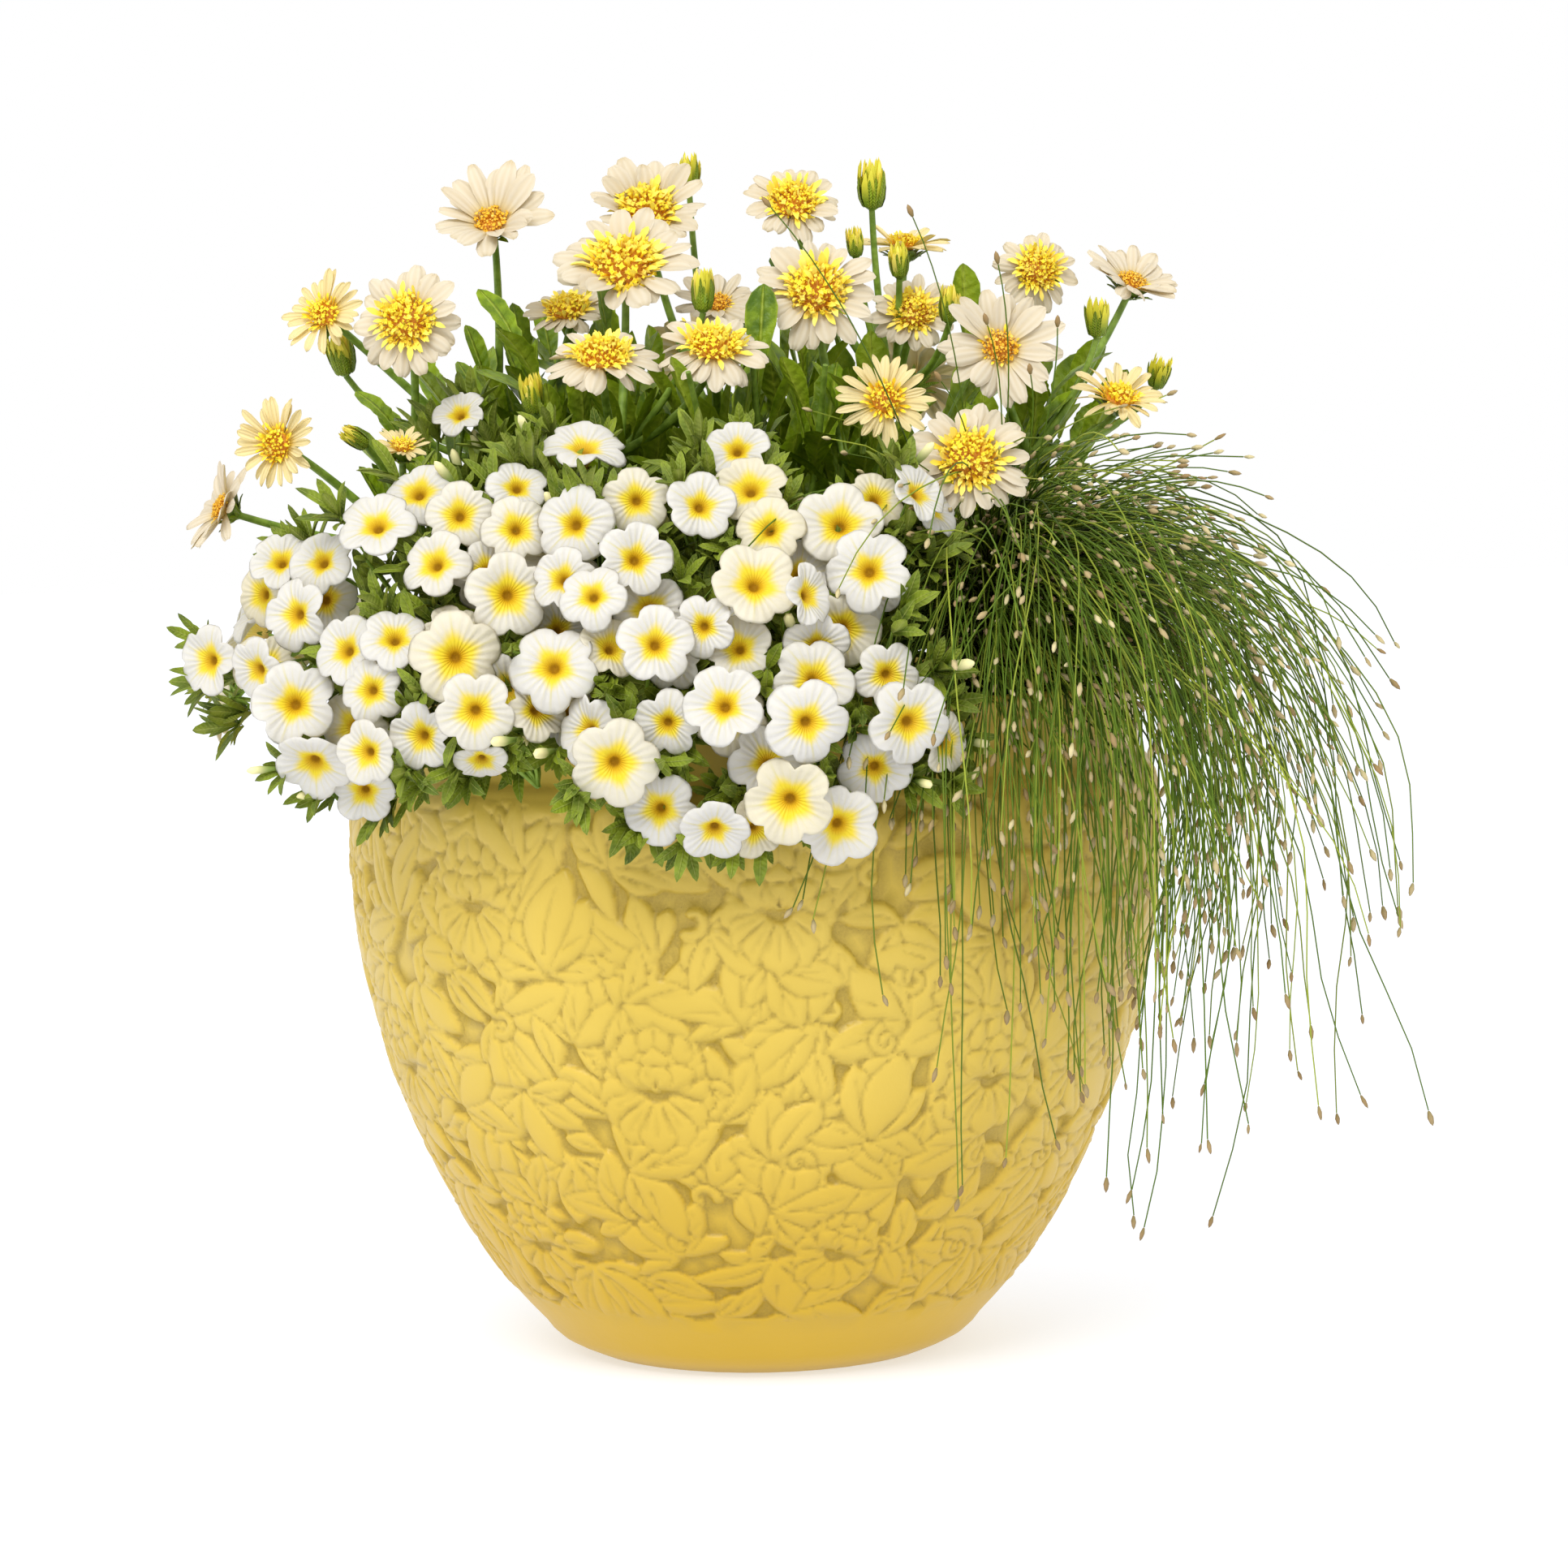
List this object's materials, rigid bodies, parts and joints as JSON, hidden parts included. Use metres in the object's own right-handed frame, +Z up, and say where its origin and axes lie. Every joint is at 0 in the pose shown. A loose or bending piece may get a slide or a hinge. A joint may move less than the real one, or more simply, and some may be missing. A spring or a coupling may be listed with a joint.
{
  "type": "potted african daisy",
  "caption": "Round moulded planter of African daisies, with white calibrachoa and a tuft of fine grass that hang over its rim.",
  "frame": {"origin": "the middle of the pot's flat base, on the surface that it stands on", "axes": "+Z up along the pot's axis, -Y towards the viewer of the picture, +X to its right"},
  "size_m": [0.4724, 0.3585, 0.4537],
  "materials": {
    "pot": "satin yellow paint, rubbed darker in the relief",
    "soil": "damp, crumbly",
    "cream_petals": "soft matt petals",
    "lemon_petals": "soft matt petals",
    "golden_florets": "matt",
    "leaf": "waxy leaf",
    "white_petals": "soft matt petals with a yellow throat",
    "grass": "smooth thread-like stems"
  },
  "bodies": {
    "root": {"pot": "pot", "potting_soil": "soil", "daisy_rays_01": "cream_petals", "daisy_disc_01": "golden_florets", "daisy_rays_02": "cream_petals", "daisy_disc_02": "golden_florets", "daisy_rays_03": "cream_petals", "daisy_disc_03": "golden_florets", "daisy_rays_04": "lemon_petals", "daisy_disc_04": "golden_florets", "daisy_rays_05": "cream_petals", "daisy_disc_05": "golden_florets", "daisy_rays_06": "lemon_petals", "daisy_disc_06": "golden_florets", "daisy_rays_07": "cream_petals", "daisy_disc_07": "golden_florets", "daisy_rays_08": "cream_petals", "daisy_disc_08": "golden_florets", "daisy_rays_09": "cream_petals", "daisy_disc_09": "golden_florets", "daisy_rays_10": "cream_petals", "daisy_disc_10": "golden_florets", "daisy_rays_11": "cream_petals", "daisy_disc_11": "golden_florets", "daisy_rays_12": "lemon_petals", "daisy_disc_12": "golden_florets", "daisy_rays_13": "cream_petals", "daisy_disc_13": "golden_florets", "daisy_rays_14": "cream_petals", "daisy_disc_14": "golden_florets", "daisy_rays_15": "lemon_petals", "daisy_disc_15": "golden_florets", "daisy_rays_16": "cream_petals", "daisy_disc_16": "golden_florets", "daisy_rays_17": "cream_petals", "daisy_disc_17": "golden_florets", "daisy_rays_18": "cream_petals", "daisy_disc_18": "golden_florets", "daisy_rays_19": "cream_petals", "daisy_disc_19": "golden_florets", "daisy_rays_20": "lemon_petals", "daisy_disc_20": "golden_florets", "daisy_rays_21": "cream_petals", "daisy_disc_21": "golden_florets", "daisy_rays_22": "lemon_petals", "daisy_disc_22": "golden_florets", "daisy_rays_23": "cream_petals", "daisy_disc_23": "golden_florets", "daisy_rays_24": "cream_petals", "daisy_disc_24": "golden_florets", "daisy_foliage": "leaf", "calibrachoa_spray_1": "white_petals", "calibrachoa_spray_2": "white_petals", "calibrachoa_spray_3": "white_petals", "calibrachoa_spray_4": "white_petals", "calibrachoa_spray_5": "white_petals", "calibrachoa_spray_6": "white_petals", "calibrachoa_spray_7": "white_petals", "calibrachoa_spray_8": "white_petals", "grass_tuft": "grass"}
  },
  "joints": []
}
